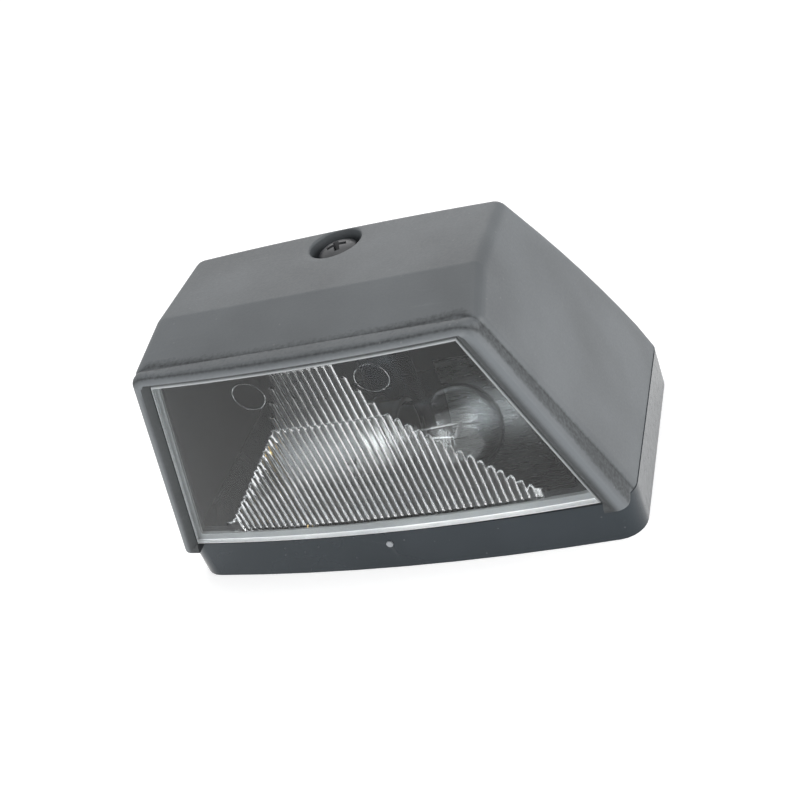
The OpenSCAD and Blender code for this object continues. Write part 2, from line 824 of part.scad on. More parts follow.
// The rivets' axes, at the top of the base's floor
module rivet_places() {
    foot_x = pin_x + shell_back - sheet_t + foot_l * 0.6;
    for (side = [-1, 1]) translate([foot_x, axis_y + side * foot_half * 0.55, base_floor]) children();
    translate([pin_x + stud_end - strip_l / 2, axis_y, base_floor]) children();
}

module rivets() {
    color("silver") rivet_places() {
        translate([0, 0, -rivet_in]) cylinder(r = rivet_r, h = rivet_in + sheet_t + 0.1);
        translate([0, 0, sheet_t]) cylinder(r = rivet_head_r, h = rivet_head_t);
    }
}

module cable_grommet() {
    color(rubber) translate([0, inlet_y, 0]) difference() {
        union() {
            cylinder(r = grommet_hole_r - 0.05, h = base_floor + 0.1);
            translate([0, 0, base_floor]) cylinder(r = grommet_hole_r + grommet_lip, h = grommet_lip_t);
        }
        translate([0, 0, -eps]) cylinder(d = cable_d, h = far);
    }
}

base_plate();
mounting_gasket();
cover_seal();
cover();
lens();
lens_seal();
cover_screw();
screw_ring();
screw_insert();
reflector();
bulb_glass();
bulb_cap();
bulb_pins();
bulb_filament();
bulb_leads();
bulb_stem();
bulb_insulator();
bulb_contact();
socket_shell();
socket_bracket();
socket_insulator();
centre_contact();
contact_spring();
supply_strip();
rivets();
cable_grommet();
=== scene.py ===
# %% [markdown]
# # A number plate lamp
# This lamp is screwed above a vehicle's number plate. A matt black cover with a raised collar
# holds a clear, fluted lens, and it stands on a glossy black base. A bayonet bulb, its holder and
# a bright reflector show through the lens.
# The frame is the construction model: its pieces lie at their real size, in metres, with the
# mounting face at z = 0 and the lens looking along -Y. Everything here is built round it.

# %% Load the frame
import math

import bmesh
import bpy
from mathutils import Euler, Matrix, Vector


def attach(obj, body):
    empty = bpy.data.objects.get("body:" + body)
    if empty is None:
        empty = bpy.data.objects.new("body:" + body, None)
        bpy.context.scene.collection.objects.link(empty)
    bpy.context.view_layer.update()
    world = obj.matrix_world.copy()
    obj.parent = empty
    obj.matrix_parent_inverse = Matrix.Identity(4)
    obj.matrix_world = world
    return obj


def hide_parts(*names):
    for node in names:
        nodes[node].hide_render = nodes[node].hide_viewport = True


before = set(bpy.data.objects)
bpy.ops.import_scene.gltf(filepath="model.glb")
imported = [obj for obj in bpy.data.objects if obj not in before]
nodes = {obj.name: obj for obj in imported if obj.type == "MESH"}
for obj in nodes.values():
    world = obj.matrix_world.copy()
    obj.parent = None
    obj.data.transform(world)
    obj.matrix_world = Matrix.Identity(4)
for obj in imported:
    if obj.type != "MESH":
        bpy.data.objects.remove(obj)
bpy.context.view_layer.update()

print("nodes in the frame:", len(nodes))

# %% [markdown]
# ## Camera
# The photograph looks down on the lens side from the right, and the camera is tilted a little
# about its own line of sight. Its place and its three angles come from fitting the base's
# corners, the lens's corners and the cover's edges. A long lens keeps the edges nearly parallel.

# %% Camera
MM = 0.001
CAMERA_PLACE = Vector((100.34, -201.59, 159.42)) * MM
CAMERA_TURN = (56.35, 19.36, 14.25)
FOCAL_LENGTH = 55.3

camera = bpy.data.objects.new("camera", bpy.data.cameras.new("camera"))
bpy.context.scene.collection.objects.link(camera)
bpy.context.scene.camera = camera
camera.location = CAMERA_PLACE
camera.rotation_euler = Euler([math.radians(turn) for turn in CAMERA_TURN])
camera.data.lens = FOCAL_LENGTH
camera.data.clip_start = 0.01
print("camera at", [round(v / MM) for v in CAMERA_PLACE], "mm")

# %% [markdown]
# ## Sizes
# The cover is described by its cross-section from front to back and by the lean of its two ends.
# The lens lies in a plane of its own that leans forward, and it bows outward with the same large
# radius as the base. These sizes are the construction model's own, so that the fine meshes below
# lie exactly on it.

# %% Sizes, in millimetres
BASE_W, BASE_D, BASE_H = 100, 59, 9.5
CORNER_R, BOW_R = 5.5, 440
LAMP_H, WALL, SEAM_SET = 61.5, 2.2, 0.2
SIDE_LEAN = math.tan(math.radians(16.8))
EDGE_R, CREASE_R, BACK_R = 3, 2.6, 3.4
BACK_BULGE = 2
LENS_LOW, LENS_HIGH, LENS_LONG, LENS_T = 88.6, 61.8, 44.4, 2.2
LENS_LEAN = math.radians(5.6)
LENS_CORNER = Vector((0, -31.9, 11.6))
LENS_GAP, LEDGE, LEDGE_LOW, SEAL_T = 0.15, 1.1, 1.8, 0.8
COLLAR_SIDE, COLLAR_TOP, COLLAR_PROUD = 4, 2.4, 0.8
COLLAR_R_TOP, COLLAR_R_LOW = 2.3, 2.6
SCREW_FORE = 1.4


def sag(x, radius=BOW_R):
    """How far an arc falls away at the distance x from its middle."""
    return radius - math.sqrt(radius * radius - x * x)


def half_width(z):
    """Half width between the cover's two ends at the height z."""
    return BASE_W / 2 - SEAM_SET - SIDE_LEAN * (z - BASE_H)


def lens_half(v):
    """Half width of the lens at the height v above its lower edge."""
    return (LENS_LOW + (LENS_HIGH - LENS_LOW) * v / LENS_LONG) / 2


EDGE_SCALE = math.hypot(1, (LENS_LOW - LENS_HIGH) / 2 / LENS_LONG)
UP_LENS = Vector((0, -math.sin(LENS_LEAN), math.cos(LENS_LEAN)))
OUT_OF_LENS = Vector((0, -math.cos(LENS_LEAN), -math.sin(LENS_LEAN)))


def on_lens(x, v, w):
    """A point of the lens's own frame: x across, v up the lens and w out of its face."""
    return LENS_CORNER + Vector((x, 0, 0)) + v * UP_LENS + w * OUT_OF_LENS


print("lens from", LENS_LOW, "to", LENS_HIGH, "mm wide")

# %% [markdown]
# ## Mesh helpers
# Most pieces are one of three kinds: the smooth skin round a set of rings, a block between two
# bowed sheets, or a body turned on a lathe. Each kind gets one helper, and a fourth one joins and
# cuts them. Normals are weighted by face area, so that large faces stay flat right up to their
# rounded edges.

# %% Mesh helpers
WELD = 0.002 * MM
SAME_POINT = 0.0001 * MM


def mesh_piece(name, points, faces):
    """A new object from points in millimetres."""
    mesh = bpy.data.meshes.new(name)
    mesh.from_pydata([Vector(p) * MM for p in points], [], faces)
    piece = bpy.data.objects.new(name, mesh)
    bpy.context.scene.collection.objects.link(piece)
    return piece


def skin(name, points):
    """The convex skin round these points."""
    piece = mesh_piece(name, points, [])
    bm = bmesh.new()
    bm.from_mesh(piece.data)
    result = bmesh.ops.convex_hull(bm, input=bm.verts)
    loose = {e for e in result["geom_interior"] if isinstance(e, bmesh.types.BMVert)}
    bmesh.ops.delete(bm, geom=list(loose), context="VERTS")
    bmesh.ops.recalc_face_normals(bm, faces=bm.faces)
    bm.to_mesh(piece.data)
    bm.free()
    return piece


def combine(body, tool, how, keep=False):
    """Joins, cuts or intersects body with tool and welds tiny edges; keep leaves the tool."""
    step = body.modifiers.new(how, "BOOLEAN")
    step.operation = how
    step.solver = "EXACT"
    step.object = tool
    shown = body.evaluated_get(bpy.context.evaluated_depsgraph_get())
    body.data = bpy.data.meshes.new_from_object(shown)
    body.modifiers.clear()
    bm = bmesh.new()
    bm.from_mesh(body.data)
    bmesh.ops.remove_doubles(bm, verts=bm.verts, dist=WELD)
    bmesh.ops.dissolve_degenerate(bm, edges=bm.edges, dist=WELD)
    bm.to_mesh(body.data)
    bm.free()
    if not keep:
        bpy.data.objects.remove(tool)
    return body


def smooth(piece, sharp=40):
    """Smooth shading that keeps edges sharper than this angle, in degrees."""
    piece.data.shade_smooth()
    piece.data.set_sharp_from_angle(angle=math.radians(sharp))
    weights = piece.modifiers.new("weights", "WEIGHTED_NORMAL")
    weights.keep_sharp = True
    return piece


def ring_faces(count, rings):
    """Quads between closed rings of count points each."""
    return [
        (r * count + k, r * count + (k + 1) % count,
         (r + 1) * count + (k + 1) % count, (r + 1) * count + k)
        for r in range(rings - 1) for k in range(count)
    ]


def turned(name, profile, sides=96, place=None):
    """A body turned about Z from (radius, height) pairs, then moved by the matrix place."""
    points = [
        (r * math.cos(2 * math.pi * k / sides), r * math.sin(2 * math.pi * k / sides), z)
        for r, z in profile for k in range(sides)
    ]
    faces = ring_faces(sides, len(profile))
    faces.append(tuple(reversed(range(sides))))
    faces.append(tuple(range((len(profile) - 1) * sides, len(profile) * sides)))
    if place is not None:
        points = [place @ Vector(p) for p in points]
    piece = mesh_piece(name, points, faces)
    bm = bmesh.new()
    bm.from_mesh(piece.data)
    bmesh.ops.remove_doubles(bm, verts=bm.verts, dist=SAME_POINT)
    bmesh.ops.recalc_face_normals(bm, faces=bm.faces)
    bm.to_mesh(piece.data)
    bm.free()
    return piece


def dress(piece, slot, material, *replaced):
    """Gives a new piece its body and its material and hides the nodes that it stands for; slot is
    not used.
    """
    piece.data.materials.clear()
    piece.data.materials.append(material)
    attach(piece, "root")
    if replaced:
        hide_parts(*replaced)
    return piece


# %% [markdown]
# ## Shared surface effects
# Moulded plastic is never quite even. One group gives every plastic the same kind of grain, fine
# dust and faint handling marks, and each material sets how strong and how large they are. A
# second group is for the cover alone: it paints shade into the crease round the collar and onto
# the collar's inner slope, and a highlight onto the crest between them. The groups hand out
# values only, and each material feeds them to its own shader.

# %% Group for grain, dust and handling marks
def new_group(name, inputs, outputs):
    """An empty shader group with these float inputs and their defaults, and these outputs."""
    group = bpy.data.node_groups.new(name, "ShaderNodeTree")
    new_socket = group.interface.new_socket
    for label, value in inputs.items():
        new_socket(label, in_out="INPUT", socket_type="NodeSocketFloat").default_value = value
    for label in outputs:
        new_socket(label, in_out="OUTPUT", socket_type="NodeSocketFloat")
    return group, group.nodes.new("NodeGroupInput"), group.nodes.new("NodeGroupOutput")


def add(tree, kind, **values):
    """A node with its properties or its inputs set by name."""
    node = tree.nodes.new("ShaderNode" + kind)
    for label, value in values.items():
        label = label.replace("_", " ")
        if label in node.inputs:
            node.inputs[label].default_value = value
        else:
            setattr(node, label.replace(" ", "_"), value)
    return node


def calc(tree, first, second, operation="ADD"):
    """The result of one operation on two sockets or numbers."""
    node = add(tree, "Math", operation=operation)
    for socket, value in zip(node.inputs, (first, second)):
        if isinstance(value, bpy.types.NodeSocket):
            tree.links.new(value, socket)
        else:
            socket.default_value = value
    return node.outputs[0]


def spread(tree, value, low, high, to_low, to_high):
    """Maps a value from one range to another and keeps it within that range."""
    node = add(tree, "MapRange")
    for k, number in enumerate((low, high, to_low, to_high), 1):
        if isinstance(number, bpy.types.NodeSocket):
            tree.links.new(number, node.inputs[k])
        else:
            node.inputs[k].default_value = number
    tree.links.new(value, node.inputs[0])
    return node.outputs[0]


def build_skin_marks():
    """Grain, dust specks and long faint rubbing marks, from the piece's own coordinates."""
    group, given, out = new_group(
        "skin marks",
        {"Grain size": 0.4, "Dust": 0.5, "Rub": 0.5},
        ["Grain", "Dust", "Rub", "Cloud"],
    )
    link = group.links.new
    place = add(group, "TexCoord").outputs["Object"]
    per_mm = calc(group, 1 / MM, given.outputs["Grain size"], "DIVIDE")
    grain = add(group, "TexNoise", Detail=3, Roughness=0.6)
    link(place, grain.inputs["Vector"])
    link(per_mm, grain.inputs["Scale"])
    link(grain.outputs[0], out.inputs["Grain"])

    specks = add(group, "TexVoronoi", Scale=420, Randomness=1)
    link(place, specks.inputs["Vector"])
    dots = spread(group, specks.outputs["Distance"], 0.04, 0.11, 1, 0)
    choice = spread(group, specks.outputs["Color"], 0.55, 0.6, 0, 1)
    chosen = calc(group, dots, choice, "MULTIPLY")
    link(calc(group, chosen, given.outputs["Dust"], "MULTIPLY"), out.inputs["Dust"])

    stretch = add(group, "Mapping")
    stretch.inputs["Scale"].default_value = (60, 900, 500)
    stretch.inputs["Rotation"].default_value = (0.2, 0.3, 0.5)
    link(place, stretch.inputs["Vector"])
    lines = add(group, "TexNoise", Scale=1, Detail=4, Roughness=0.7)
    link(stretch.outputs[0], lines.inputs["Vector"])
    rub = spread(group, lines.outputs[0], 0.62, 0.8, 0, 1)
    link(calc(group, rub, given.outputs["Rub"], "MULTIPLY"), out.inputs["Rub"])

    cloud = add(group, "TexNoise", Scale=45, Detail=2, Roughness=0.5)
    link(place, cloud.inputs["Vector"])
    link(cloud.outputs[0], out.inputs["Cloud"])
    return group


SKIN_MARKS = build_skin_marks()

# %% Group for the collar's painted shade and painted highlight
CREASE_SIDE, CREASE_TOP, CORNER_BLEND = 4.17, 2.05, 4
CREASE_FADE, SLOPE_FADE, CREST_FADE = (-0.05, 0.28), (1.3, 2.3), (0.3, 0.9)
CREASE_SHIFT, CREST_AT = 0.05, 3.05
FRONT_FROM, FRONT_FULL = -9, -8.5
# How far the painted shade darkens the crease and the inner slope
PAINTED_SHADE_SHARE = 0.85


def build_collar_painted_light():
    """Painted shade in the crease round the collar and on its inner slope, and a painted highlight
    on the crest between them, all measured across the collar from the lens's edge, in millimetres."""
    group, given, out = new_group("collar painted light", {"Ragged": 0.42}, ["Dirt", "Painted highlight mask"])
    link = group.links.new

    def along(direction):
        """How far the place lies from the lens's corner in this direction."""
        node = add(group, "VectorMath", operation="DOT_PRODUCT")
        link(place, node.inputs[0])
        node.inputs[1].default_value = direction / MM
        return calc(group, node.outputs["Value"], -LENS_CORNER.dot(direction))

    place = add(group, "TexCoord").outputs["Object"]
    height, depth = along(UP_LENS), along(OUT_OF_LENS)
    sideways = calc(group, along(Vector((1, 0, 0))), 0, "ABSOLUTE")
    lean = (LENS_LOW - LENS_HIGH) / 2 / LENS_LONG
    leaning = calc(group, height, lean, "MULTIPLY")
    side = calc(group, calc(group, leaning, sideways), -LENS_LOW / 2)
    upward = calc(group, height, CREASE_SIDE - CREASE_TOP - LENS_LONG)
    across = calc(group, side, upward, "SMOOTH_MAX")
    across.node.inputs[2].default_value = CORNER_BLEND
    noise = add(group, "TexNoise", Scale=1400, Detail=4, Roughness=0.6)
    link(place, noise.inputs["Vector"])
    even = calc(group, noise.outputs[0], -0.5)
    ragged = calc(group, even, given.outputs["Ragged"], "MULTIPLY")
    # Painted shade in the crease and on the inner slope
    off_crease = calc(group, calc(group, across, -CREASE_SIDE - CREASE_SHIFT), 0, "ABSOLUTE")
    crease = spread(group, calc(group, off_crease, ragged), *CREASE_FADE, PAINTED_SHADE_SHARE, 0)
    slope = spread(group, calc(group, across, ragged), *SLOPE_FADE, PAINTED_SHADE_SHARE, 0)
    painted_shade = calc(group, crease, slope, "MAXIMUM")
    in_front = spread(group, depth, FRONT_FROM, FRONT_FULL, 0, 1)
    link(calc(group, painted_shade, in_front, "MULTIPLY"), out.inputs["Dirt"])
    # Painted highlight on the collar's crest
    off_crest = calc(group, calc(group, across, -CREST_AT), 0, "ABSOLUTE")
    crest = spread(group, calc(group, off_crest, ragged), *CREST_FADE, 1, 0)
    link(calc(group, crest, in_front, "MULTIPLY"), out.inputs["Painted highlight mask"])
    return group


COLLAR_PAINTED_LIGHT = build_collar_painted_light()
print("shared groups:", len(bpy.data.node_groups))

# %% [markdown]
# ## Plastics
# One function makes every plastic. Clouds and rubbing change its colour a little, dust lies on
# top, and the grain drives both the roughness and a fine bump.

# %% Plastic
CLOUD_RANGE = (0.35, 0.65)
GRAIN_RANGE = (0.3, 0.7)
# Sheen's roughness, and the roughness where shade is painted round the collar
SHEEN_ROUGHNESS, PAINTED_SHADE_ROUGHNESS = 0.35, 0.85


def new_material(name):
    """A material with one Principled shader, ready to wire."""
    material = bpy.data.materials.new(name)
    material.use_nodes = True
    tree = material.node_tree
    return material, tree, tree.nodes["Principled BSDF"]


def blend_colour(tree, amount, first, second):
    """A colour between two, by a socket's value."""
    node = add(tree, "Mix", data_type="RGBA")
    tree.links.new(amount, node.inputs[0])
    for socket, colour in ((node.inputs[6], first), (node.inputs[7], second)):
        if isinstance(colour, bpy.types.NodeSocket):
            tree.links.new(colour, socket)
        else:
            socket.default_value = (*colour, 1)
    return node.outputs[2]


def add_grain(tree, shader, rough, height, depth):
    """Wires the roughness and a bump of that depth in millimetres to the shader."""
    tree.links.new(rough, shader.inputs["Roughness"])
    bump = add(tree, "Bump", Strength=1.0, Distance=depth * MM)
    tree.links.new(height, bump.inputs["Height"])
    tree.links.new(bump.outputs[0], shader.inputs["Normal"])


def plastic(
    name, colour, roughness, grain_mm, grain_depth, dust=0.4, rub=0.5, film=0.0, collar=False
):
    """A moulded plastic: colour, roughness, and grain of that size and depth in millimetres.
    film is a thin layer of dust that pales the surface where it is seen at a low angle, and
    collar adds painted shade in the crease and on the inner slope, and a painted highlight on the
    crest."""
    material, tree, shader = new_material(name)
    shader.inputs["Sheen Weight"].default_value = film
    shader.inputs["Sheen Roughness"].default_value = SHEEN_ROUGHNESS
    marks = add(tree, "Group")
    marks.node_tree = SKIN_MARKS
    for label, value in (("Grain size", grain_mm), ("Dust", dust), ("Rub", rub)):
        marks.inputs[label].default_value = value
    darker = [0.86 * c for c in colour]
    lighter = [min(1.16 * c + 0.004, 1) for c in colour]
    dusty = [0.55 * c + 0.2 for c in colour]
    cloudy = spread(tree, marks.outputs["Cloud"], *CLOUD_RANGE, 0, 1)
    toned = blend_colour(tree, cloudy, darker, lighter)
    rubbed_and_painted_light = blend_colour(tree, marks.outputs["Rub"], toned, [1.5 * c + 0.02 for c in colour])
    grain = marks.outputs["Grain"]
    rough = spread(tree, grain, *GRAIN_RANGE, roughness - 0.05, roughness + 0.06)
    # Painted light on the collar: a highlight painted onto the crest, and shade painted into the
    # crease and onto the inner slope, which is also made rougher
    if collar:
        collar_light = add(tree, "Group")
        collar_light.node_tree = COLLAR_PAINTED_LIGHT
        rubbed_and_painted_light = blend_colour(tree, collar_light.outputs["Painted highlight mask"], rubbed_and_painted_light, [1.5 * c for c in colour])
        rubbed_and_painted_light = blend_colour(tree, collar_light.outputs["Dirt"], rubbed_and_painted_light, [0.2 * c for c in colour])
        rough = spread(tree, collar_light.outputs["Dirt"], 0, 1, rough, PAINTED_SHADE_ROUGHNESS)
    dusted = blend_colour(tree, marks.outputs["Dust"], rubbed_and_painted_light, dusty)
    tree.links.new(dusted, shader.inputs["Base Color"])
    add_grain(tree, shader, rough, grain, grain_depth)
    return material


# %% [markdown]
# ## Metals and glass
# The pressed and turned metals differ in colour and in how far they scatter light, so one
# function makes them all. The lens and the bulb are refracting solids. Lamps would throw no
# light through such a solid, so for shadow rays alone it is swapped for a clear film. The lens's
# smooth faces bend the light less than real plastic does, since that weakens the mirror image of
# the white floor, which would otherwise hide the inside.

# %% Metals, clear plastic and glass
# Length along X, in millimetres, over which a metal turns darker
DARKENING_LONG = 12


def metal(name, colour, roughness, streak=(300, 300, 300), depth=0.004, darker_from=None):
    """A bare metal with fine streaks; streak is how fast the marks change along X, Y and Z, and
    the last argument is the place along X, in millimetres, from which the metal turns darker along
    +X."""
    material, tree, shader = new_material(name)
    shader.inputs["Metallic"].default_value = 1
    stretch = add(tree, "Mapping")
    stretch.inputs["Scale"].default_value = streak
    tree.links.new(add(tree, "TexCoord").outputs["Object"], stretch.inputs["Vector"])
    noise = add(tree, "TexNoise", Scale=4, Detail=4, Roughness=0.6)
    tree.links.new(stretch.outputs[0], noise.inputs["Vector"])
    tone = spread(tree, noise.outputs[0], *GRAIN_RANGE, 0, 1)
    toned = blend_colour(tree, tone, [0.85 * c for c in colour], colour)
    if darker_from is not None:
        apart = add(tree, "SeparateXYZ")
        tree.links.new(add(tree, "TexCoord").outputs["Object"], apart.inputs[0])
        start, end = darker_from * MM, (darker_from + DARKENING_LONG) * MM
        share = spread(tree, apart.outputs[0], start, end, 0, 1)
        toned = blend_colour(tree, share, toned, [0.2 * c for c in colour])
    rough = spread(tree, noise.outputs[0], *GRAIN_RANGE, roughness * 0.8, roughness * 1.3)
    tree.links.new(toned, shader.inputs["Base Color"])
    add_grain(tree, shader, rough, noise.outputs[0], depth)
    return material


def clear_solid(name, colour, ior, roughness, wave_mm, film, gloss=0.3):
    """A refracting solid with a faint waviness; film is the share of lamp light that it passes."""
    material, tree, shader = new_material(name)
    shader.inputs["Base Color"].default_value = (*colour, 1)
    shader.inputs["Transmission Weight"].default_value = 1
    shader.inputs["Specular IOR Level"].default_value = gloss
    shader.inputs["IOR"].default_value = ior
    place = add(tree, "TexCoord").outputs["Object"]
    wave = add(tree, "TexNoise", Scale=140, Detail=2, Roughness=0.4)
    tree.links.new(place, wave.inputs["Vector"])
    rough = spread(tree, wave.outputs[0], *GRAIN_RANGE, roughness * 0.6, roughness * 1.4)
    add_grain(tree, shader, rough, wave.outputs[0], wave_mm)
    clear = add(tree, "BsdfTransparent")
    clear.inputs["Color"].default_value = (film, film, film, 1)
    swap = add(tree, "MixShader")
    tree.links.new(add(tree, "LightPath").outputs["Is Shadow Ray"], swap.inputs[0])
    tree.links.new(shader.outputs[0], swap.inputs[1])
    tree.links.new(clear.outputs[0], swap.inputs[2])
    tree.links.new(swap.outputs[0], tree.nodes["Material Output"].inputs["Surface"])
    return material


# The cover's plastic carries the collar's painted shade and painted highlight
COVER_BLACK = plastic(
    "matt cover plastic", (0.092, 0.101, 0.108), 0.5, 0.45, 0.03, dust=0.25, rub=0.3, collar=True
)
BASE_BLACK = plastic(
    "gloss base plastic", (0.01, 0.013, 0.018), 0.2, 1.2, 0.004, dust=0.25, rub=0.3, film=0.25
)
base_shader = BASE_BLACK.node_tree.nodes["Principled BSDF"]
base_shader.inputs["Specular Tint"].default_value = (0.82, 0.95, 1, 1)
# A darker copy of the cover's plastic for the collar's inner slope: painted shade
SLOPE_PAINTED_SHADE = plastic(
    "collar slope plastic with painted shade", (0.035, 0.039, 0.041), 0.6, 0.9, 0.05, dust=0.1, rub=0.6
)
# A darker copy of the cover's plastic for the cover's inside: painted shade
INNER_PAINTED_SHADE = plastic(
    "inner face plastic with painted shade", (0.03, 0.034, 0.037), 0.45, 0.6, 0.012, dust=0.1, rub=0
)
RUBBER = plastic("black rubber", (0.02, 0.02, 0.021), 0.7, 0.3, 0.01)
SEAL_GREY = plastic("cured seal", (0.25, 0.26, 0.265), 0.45, 0.8, 0.01, dust=0.1, rub=0)
FIBRE = plastic("insulating board", (0.25, 0.13, 0.06), 0.6, 0.5, 0.01)
GATE_MARK = plastic("broken gate", (0.35, 0.37, 0.39), 0.6, 0.3, 0.02, dust=0, rub=0)
SCREW_BLACK = plastic("black screw coating", (0.035, 0.036, 0.04), 0.38, 0.3, 0.006, rub=0.6)
CAP_BLACK = plastic("black glass insulator", (0.01, 0.01, 0.011), 0.15, 0.6, 0.003, dust=0)
LENS_EDGE = plastic("ground lens edge", (0.36, 0.38, 0.39), 0.4, 0.9, 0.02, dust=0, rub=0)
# A pale copy of the ground edge for the lens's lower edge: a painted highlight
LOWER_EDGE_HIGHLIGHT = plastic("lower lens edge with painted highlight", (0.85, 0.88, 0.9), 0.3, 0.9, 0.02, dust=0, rub=0)
LENS_CLEAR = clear_solid(
    "clear lens plastic", (0.95, 0.975, 0.98), 1.3, 0.02, 0.002, 0.6, gloss=0.15
)
LENS_FLUTED = clear_solid(
    "fluted lens face", (0.8, 0.83, 0.84), 1.49, 0.06, 0.002, 0.6, gloss=0.25
)
BULB_CLEAR = clear_solid("bulb glass", (0.99, 0.995, 1.0), 1.5, 0.01, 0.001, 0.9)
# The reflector's sheet turns darker along X from 7 mm on, towards its closed end
BRIGHT_SHEET = metal(
    "brightened sheet", (0.46, 0.48, 0.49), 0.28, (60, 500, 500), 0.001, darker_from=7
)
NICKEL = metal("nickel plate", (0.36, 0.36, 0.355), 0.35, (500, 90, 90))
ZINC = metal("dulled zinc plate", (0.2, 0.205, 0.21), 0.6, (200, 200, 200))
BRASS = metal("brass", (0.72, 0.52, 0.24), 0.28)
WIRE = metal("drawn wire", (0.55, 0.55, 0.56), 0.3)
SOLDER = metal("solder", (0.6, 0.6, 0.61), 0.4)
print("materials:", len(bpy.data.materials))

# %% [markdown]
# ## Cover
# The real cover is one moulding: a shell with soft long edges, a bowed front and back and two
# leaning ends, and a raised collar round the lens. Its edges could be bevelled onto a plain box,
# but a bevel of varying radius along a bowed edge is hard to keep even. So the shell is the
# convex skin round rings that follow each edge, which gives every edge its own true radius. The
# collar is a second skin, and the two are joined and hollowed out. The hollow and the lens's
# pocket get darker copies of the cover's plastic, which paint in the shade that falls there.

# %% The cover's cross-section and its rings
FRONT_FOOT = Vector((sag(BASE_W / 2) - BASE_D / 2 + SEAM_SET, BASE_H))
BACK_FOOT = Vector((BASE_D / 2 - sag(BASE_W / 2) - SEAM_SET, BASE_H))
CREASE = Vector((-33.6, LAMP_H - 3.7))
TOP_Z = LAMP_H - 0.016  # keeps the smooth top inside the CAD's slightly faceted one
RIDGE = Vector((-19.6, TOP_Z))
TOP_BACK = Vector((3.5, TOP_Z))
COLLAR_ROOT = 6


def seat(before, corner, after, r):
    """Centre of the circle of radius r that touches both lines that meet in a corner."""
    a, b = (before - corner).normalized(), (after - corner).normalized()
    middle = (a + b).normalized()
    return corner + middle * (r / math.sin(a.angle(b) / 2))


def edge_rings(centre, r, way, shrink, count=25, sides=28):
    """Points on rings along a bowed edge of the cover, with a ball at each of its two ends."""
    half = half_width(centre.y) - r / math.cos(math.atan(SIDE_LEAN))
    radius = r - shrink
    points = []
    for i in range(count):
        x = half * (2 * i / (count - 1) - 1)
        middle = Vector((x, centre.x + way * (sag(half) - sag(x)), centre.y))
        lean = way * x / BOW_R
        out = Vector((lean, 1 if way >= 0 else -1, 0)).normalized()
        if i in (0, count - 1):
            points += ball(middle, radius)
        for k in range(sides):
            a = 2 * math.pi * k / sides
            points.append(middle + radius * (math.cos(a) * out + math.sin(a) * Vector((0, 0, 1))))
    return points


def ball(middle, radius, turns=28, layers=14):
    """Points on a ball."""
    points = []
    for j in range(layers + 1):
        b = math.pi * j / layers
        for k in range(turns):
            a = 2 * math.pi * k / turns
            way = Vector((math.sin(b) * math.cos(a), math.sin(b) * math.sin(a), math.cos(b)))
            points.append(middle + radius * way)
    return points


def base_outline(inset, corner_steps=12, bow_steps=20):
    """Points of the base's outline seen from above, moved inwards: bowed sides, round corners."""
    r, big = CORNER_R - inset, BOW_R - inset
    cx, oy = BASE_W / 2 - CORNER_R, BOW_R - BASE_D / 2
    turn = math.asin(cx / (big - r))
    cy = math.sqrt((big - r) ** 2 - cx * cx) - oy
    arc = [k / corner_steps * (math.pi / 2 - turn) for k in range(corner_steps + 1)]
    right = [(cx + r * math.cos(a), cy + r * math.sin(a)) for a in arc]
    bow = [turn - 2 * turn * k / bow_steps for k in range(1, bow_steps)]
    back = [(big * math.sin(a), big * math.cos(a) - oy) for a in bow]
    left = [(-x, y) for x, y in reversed(right)]
    upper = right + back + left
    return upper + [(x, -y) for x, y in reversed(upper)]


def cover_points(shrink):
    """All points that the cover's skin, or with shrink its hollow, is drawn round."""
    chord = BACK_FOOT - TOP_BACK
    outward = Vector((-chord.y, chord.x)).normalized()
    shares = [k / 8 for k in range(1, 8)]
    back = [TOP_BACK + s * chord + 4 * s * (1 - s) * BACK_BULGE * outward for s in shares]
    low, high = (BASE_H - 1, BASE_H + 0.3) if shrink else (BASE_H, BASE_H + 0.5)
    points = [(x, y, z) for x, y in base_outline(SEAM_SET + shrink) for z in (low, high)]
    points += edge_rings(seat(FRONT_FOOT, CREASE, RIDGE, CREASE_R), CREASE_R, -1, shrink)
    points += edge_rings(seat(CREASE, RIDGE, TOP_BACK, EDGE_R), EDGE_R, 0, shrink)
    points += edge_rings(seat(RIDGE, TOP_BACK, back[0], EDGE_R), EDGE_R, 1, shrink)
    for p in back:
        points += edge_rings(p - BACK_R * outward, BACK_R, 1, shrink, 9)
    return points


def collar_rings(v, r, deep, count=25):
    """Balls across the collar at the height v, that far behind its crest."""
    half = lens_half(v) + (COLLAR_SIDE - r) * EDGE_SCALE
    points = []
    for i in range(count):
        x = half * (2 * i / (count - 1) - 1)
        points += ball(on_lens(x, v, COLLAR_PROUD - r - sag(x) - deep), r)
    return points


def collar_skin():
    """The collar's form before the lens's pocket is cut."""
    crest = COLLAR_PROUD - COLLAR_R_LOW - sag(LENS_LOW / 2)
    low = (BASE_H + SEAM_SET - LENS_CORNER.z) / math.cos(LENS_LEAN) + crest * math.tan(LENS_LEAN)
    high = LENS_LONG + COLLAR_TOP - COLLAR_R_TOP
    points = collar_rings(low, COLLAR_R_LOW, 0) + collar_rings(high, COLLAR_R_TOP, 0)
    points += collar_rings(low + 1, COLLAR_R_LOW / 2, COLLAR_ROOT)
    return skin("collar", points + collar_rings(high - 1, COLLAR_R_TOP / 2, COLLAR_ROOT))


outer = skin("outer", cover_points(0))
hollow = skin("hollow", cover_points(WALL))
print("outer skin:", len(outer.data.polygons), "faces")

# %% [markdown]
# The window is cut with blocks between bowed sheets. A block is a stack of outlines of the lens,
# each grown or shrunk a little and set at its own depth, so the same helper makes the lens's
# pocket, the flared slope inside the collar and, later, the lens itself.

